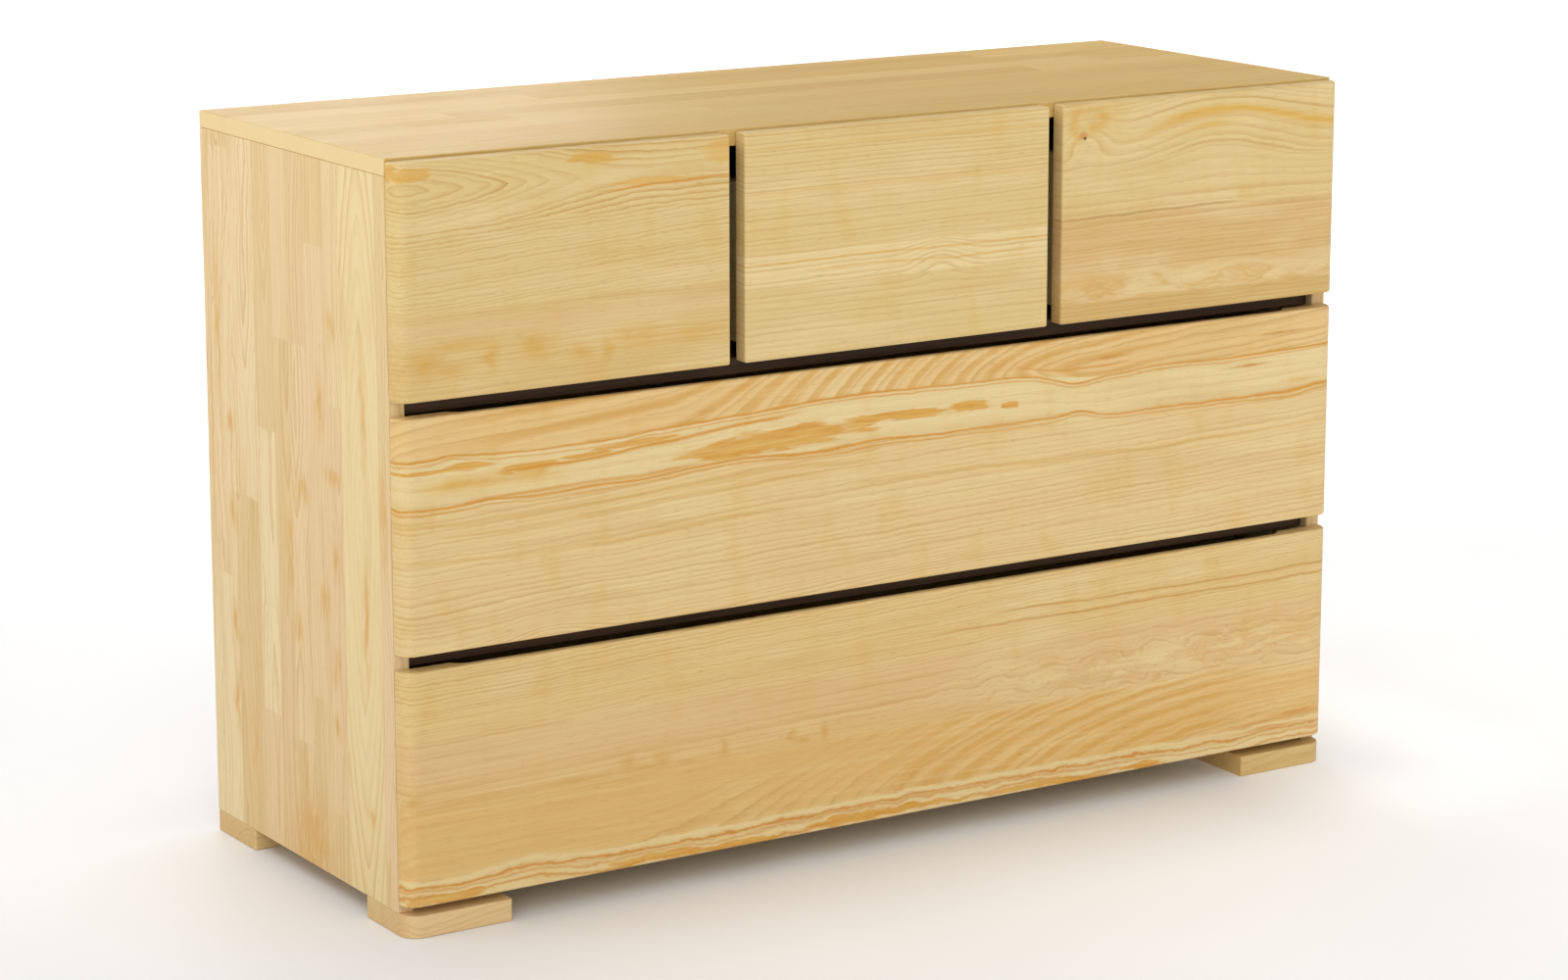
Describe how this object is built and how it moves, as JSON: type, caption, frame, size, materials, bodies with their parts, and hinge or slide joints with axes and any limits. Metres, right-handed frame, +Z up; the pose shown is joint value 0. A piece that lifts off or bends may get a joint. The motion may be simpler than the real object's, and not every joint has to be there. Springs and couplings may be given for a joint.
{
  "type": "chest of drawers",
  "caption": "Low, wide solid pine chest of drawers without handles: flush slab fronts with finger gaps between them, a row of small drawers above full-width ones, on low block feet.",
  "frame": {"origin": "on the floor, under the middle of the chest's outer box", "axes": "+Z up, +Y from the drawer fronts to the back, +X to the right of someone facing the drawers"},
  "size_m": [1.2, 0.45, 0.8],
  "materials": {
    "pine": "clear satin varnish on glued solid pine",
    "drawer_box_pine": "bare planed pine",
    "dark_stained_wood": "dark brown matt stain",
    "hardboard": "smooth hardboard",
    "slide_steel": "zinc-plated",
    "screw_steel": "bright zinc"
  },
  "bodies": {
    "root": {"top_panel": "pine", "side_panel_left": "pine", "side_panel_right": "pine", "bottom_panel": "pine", "foot_front_left": "pine", "foot_front_right": "pine", "foot_back_left": "pine", "foot_back_right": "pine", "partition_left": "dark_stained_wood", "partition_right": "dark_stained_wood", "divider_lower": "dark_stained_wood", "divider_upper": "dark_stained_wood", "back_panel": "hardboard", "foot_screws": "screw_steel", "cabinet_slide_screws": "screw_steel", "cabinet_slides_drawer_upper_left": "slide_steel", "cabinet_slides_drawer_upper_middle": "slide_steel", "cabinet_slides_drawer_upper_right": "slide_steel", "cabinet_slides_drawer_middle": "slide_steel", "cabinet_slides_drawer_lower": "slide_steel"},
    "drawer_upper_left": {"drawer_upper_left_front": "pine", "drawer_upper_left_side_left": "drawer_box_pine", "drawer_upper_left_side_right": "drawer_box_pine", "drawer_upper_left_back": "drawer_box_pine", "drawer_upper_left_bottom": "hardboard", "drawer_upper_left_slides": "slide_steel", "drawer_upper_left_slide_screws": "screw_steel"},
    "drawer_upper_left_middle_slides": {"drawer_upper_left_middle_slides": "slide_steel"},
    "drawer_upper_middle": {"drawer_upper_middle_front": "pine", "drawer_upper_middle_side_left": "drawer_box_pine", "drawer_upper_middle_side_right": "drawer_box_pine", "drawer_upper_middle_back": "drawer_box_pine", "drawer_upper_middle_bottom": "hardboard", "drawer_upper_middle_slides": "slide_steel", "drawer_upper_middle_slide_screws": "screw_steel"},
    "drawer_upper_middle_middle_slides": {"drawer_upper_middle_middle_slides": "slide_steel"},
    "drawer_upper_right": {"drawer_upper_right_front": "pine", "drawer_upper_right_side_left": "drawer_box_pine", "drawer_upper_right_side_right": "drawer_box_pine", "drawer_upper_right_back": "drawer_box_pine", "drawer_upper_right_bottom": "hardboard", "drawer_upper_right_slides": "slide_steel", "drawer_upper_right_slide_screws": "screw_steel"},
    "drawer_upper_right_middle_slides": {"drawer_upper_right_middle_slides": "slide_steel"},
    "drawer_middle": {"drawer_middle_front": "pine", "drawer_middle_side_left": "drawer_box_pine", "drawer_middle_side_right": "drawer_box_pine", "drawer_middle_back": "drawer_box_pine", "drawer_middle_bottom": "hardboard", "drawer_middle_slides": "slide_steel", "drawer_middle_slide_screws": "screw_steel"},
    "drawer_middle_middle_slides": {"drawer_middle_middle_slides": "slide_steel"},
    "drawer_lower": {"drawer_lower_front": "pine", "drawer_lower_side_left": "drawer_box_pine", "drawer_lower_side_right": "drawer_box_pine", "drawer_lower_back": "drawer_box_pine", "drawer_lower_bottom": "hardboard", "drawer_lower_slides": "slide_steel", "drawer_lower_slide_screws": "screw_steel"},
    "drawer_lower_middle_slides": {"drawer_lower_middle_slides": "slide_steel"}
  },
  "joints": [
    {"name": "drawer_upper_left_slide", "type": "slide", "parent": "root", "child": "drawer_upper_left", "axis": [0, -1, 0], "range_m": [0, 0.35]},
    {"name": "drawer_upper_left_middle_slides_slide", "type": "slide", "parent": "root", "child": "drawer_upper_left_middle_slides", "axis": [0, -1, 0], "range_m": [0, 0.175]},
    {"name": "drawer_upper_middle_slide", "type": "slide", "parent": "root", "child": "drawer_upper_middle", "axis": [0, -1, 0], "range_m": [0, 0.35]},
    {"name": "drawer_upper_middle_middle_slides_slide", "type": "slide", "parent": "root", "child": "drawer_upper_middle_middle_slides", "axis": [0, -1, 0], "range_m": [0, 0.175]},
    {"name": "drawer_upper_right_slide", "type": "slide", "parent": "root", "child": "drawer_upper_right", "axis": [0, -1, 0], "range_m": [0, 0.35]},
    {"name": "drawer_upper_right_middle_slides_slide", "type": "slide", "parent": "root", "child": "drawer_upper_right_middle_slides", "axis": [0, -1, 0], "range_m": [0, 0.175]},
    {"name": "drawer_middle_slide", "type": "slide", "parent": "root", "child": "drawer_middle", "axis": [0, -1, 0], "range_m": [0, 0.35]},
    {"name": "drawer_middle_middle_slides_slide", "type": "slide", "parent": "root", "child": "drawer_middle_middle_slides", "axis": [0, -1, 0], "range_m": [0, 0.175]},
    {"name": "drawer_lower_slide", "type": "slide", "parent": "root", "child": "drawer_lower", "axis": [0, -1, 0], "range_m": [0, 0.35]},
    {"name": "drawer_lower_middle_slides_slide", "type": "slide", "parent": "root", "child": "drawer_lower_middle_slides", "axis": [0, -1, 0], "range_m": [0, 0.175]}
  ],
  "couplings": [
    {"joint": "drawer_upper_left_middle_slides_slide", "follows": "drawer_upper_left_slide", "ratio": 0.5},
    {"joint": "drawer_upper_middle_middle_slides_slide", "follows": "drawer_upper_middle_slide", "ratio": 0.5},
    {"joint": "drawer_upper_right_middle_slides_slide", "follows": "drawer_upper_right_slide", "ratio": 0.5},
    {"joint": "drawer_middle_middle_slides_slide", "follows": "drawer_middle_slide", "ratio": 0.5},
    {"joint": "drawer_lower_middle_slides_slide", "follows": "drawer_lower_slide", "ratio": 0.5}
  ]
}
